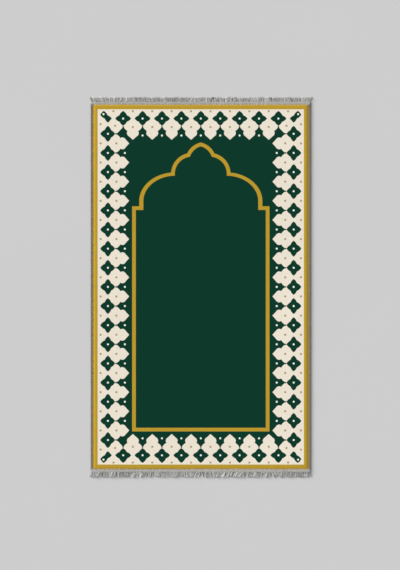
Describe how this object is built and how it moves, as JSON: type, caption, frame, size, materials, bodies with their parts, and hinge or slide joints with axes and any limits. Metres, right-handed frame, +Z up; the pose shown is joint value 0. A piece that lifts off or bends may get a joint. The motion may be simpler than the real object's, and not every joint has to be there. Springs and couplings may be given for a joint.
{
  "type": "prayer rug",
  "caption": "Flat rectangular prayer rug with a pointed arch inside a patterned border, bound long sides and a short fringe on each end.",
  "frame": {"origin": "middle of the underside, on the surface that the rug lies on", "axes": "+Y along the length, towards the end that the arch points to; +X across; +Z up, out of the pile"},
  "size_m": [0.702, 1.2, 0.0045],
  "materials": {
    "printed_pile": "short matte pile, printed",
    "fringe_cotton": "matte twisted yarn",
    "binding_yarn": "matte overlocked yarn"
  },
  "bodies": {
    "root": {"rug_panel": "printed_pile", "fringe_head": "fringe_cotton", "fringe_foot": "fringe_cotton", "side_binding_right": "binding_yarn", "side_binding_left": "binding_yarn"}
  },
  "joints": []
}
